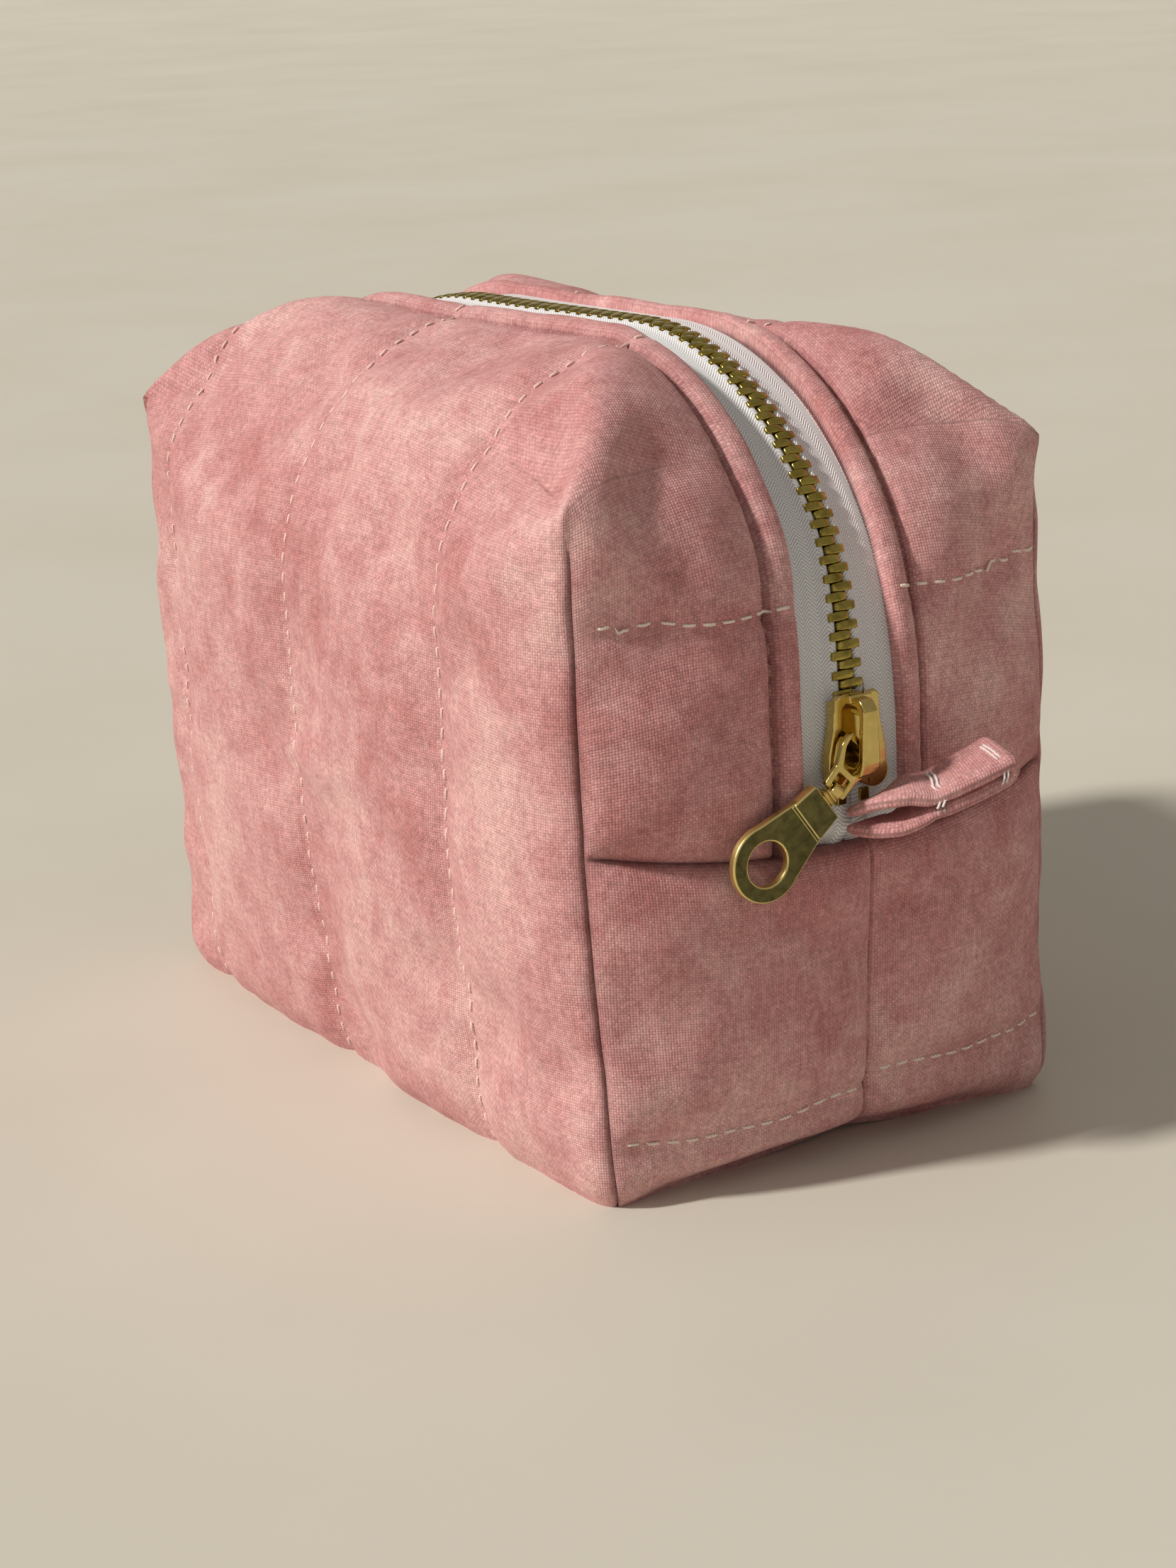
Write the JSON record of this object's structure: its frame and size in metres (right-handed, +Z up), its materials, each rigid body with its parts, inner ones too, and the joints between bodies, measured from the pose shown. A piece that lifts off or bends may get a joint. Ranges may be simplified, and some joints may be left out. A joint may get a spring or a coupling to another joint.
{
  "type": "zipped makeup bag",
  "caption": "Boxy quilted fabric pouch with a metal zip over the top and both ends, a ring puller and a side tab.",
  "frame": {"origin": "middle of the bag's base, on the surface it stands on", "axes": "+Z up, +X along the bag towards the end with the closed slider and the tab, -Y towards the front panel"},
  "size_m": [0.1799, 0.094, 0.1276],
  "materials": {
    "outer_cotton": "plain-weave cotton, mottled dusty pink",
    "wadding": "soft polyester wadding",
    "lining": "plain-weave cotton, pale pink",
    "zip_tape": "white herringbone tape",
    "thread": "cream sewing thread",
    "zip_brass": "polished gold brass",
    "puller_brass": "antique brass face with bright edges"
  },
  "bodies": {
    "bag": {"outer_front_lower": "outer_cotton", "outer_back_lower": "outer_cotton", "wadding_front": "wadding", "wadding_back": "wadding", "lining_front": "lining", "lining_back": "lining", "zip_top_stop_front": "zip_brass", "zip_top_stop_back": "zip_brass", "zip_bottom_stop": "zip_brass"},
    "mouth_front": {"outer_front_upper": "outer_cotton", "zip_tape_front": "zip_tape", "zip_teeth_front": "zip_brass"},
    "mouth_back": {"outer_back_upper": "outer_cotton", "zip_tape_back": "zip_tape", "zip_teeth_back": "zip_brass"},
    "slider": {"slider_body": "zip_brass", "slider_crown": "zip_brass", "slider_lock_pin": "zip_brass"},
    "link": {"pull_link": "zip_brass"},
    "puller": {"puller": "puller_brass"},
    "tab": {"side_tab": "outer_cotton"}
  },
  "joints": [
    {"name": "zip_run", "type": "hinge", "parent": "bag", "child": "slider", "pos_m": [0, 0, 0.07], "axis": [0, -1, 0], "range_deg": [0, 180]},
    {"name": "mouth_front_open", "type": "hinge", "parent": "bag", "child": "mouth_front", "pos_m": [0, 0, 0.058], "axis": [1, 0, 0], "range_deg": [0, 30], "deforming": ["outer_front_upper", "zip_tape_front", "zip_teeth_front", "wadding_front", "lining_front"]},
    {"name": "mouth_back_open", "type": "hinge", "parent": "bag", "child": "mouth_back", "pos_m": [0, 0, 0.058], "axis": [-1, 0, 0], "range_deg": [0, 30], "deforming": ["outer_back_upper", "zip_tape_back", "zip_teeth_back", "wadding_back", "lining_back"]},
    {"name": "pull_lift", "type": "hinge", "parent": "slider", "child": "link", "pos_m": [0.08585, 0, 0.0694], "axis": [0, -0.7071, 0.7071], "range_deg": [0, 100]},
    {"name": "puller_swing", "type": "hinge", "parent": "link", "child": "puller", "pos_m": [0.08585, -0.00548, 0.06392], "axis": [0, -0.7071, 0.7071], "range_deg": [0, 80]},
    {"name": "tab_flex", "type": "hinge", "parent": "bag", "child": "tab", "pos_m": [0.0848, 0.0015, 0.058], "axis": [0, -1, 0], "range_deg": [-45, 5]}
  ],
  "couplings": [
    {"joint": "mouth_front_open", "follows": "zip_run", "ratio": 0.16667},
    {"joint": "mouth_back_open", "follows": "zip_run", "ratio": 0.16667}
  ]
}
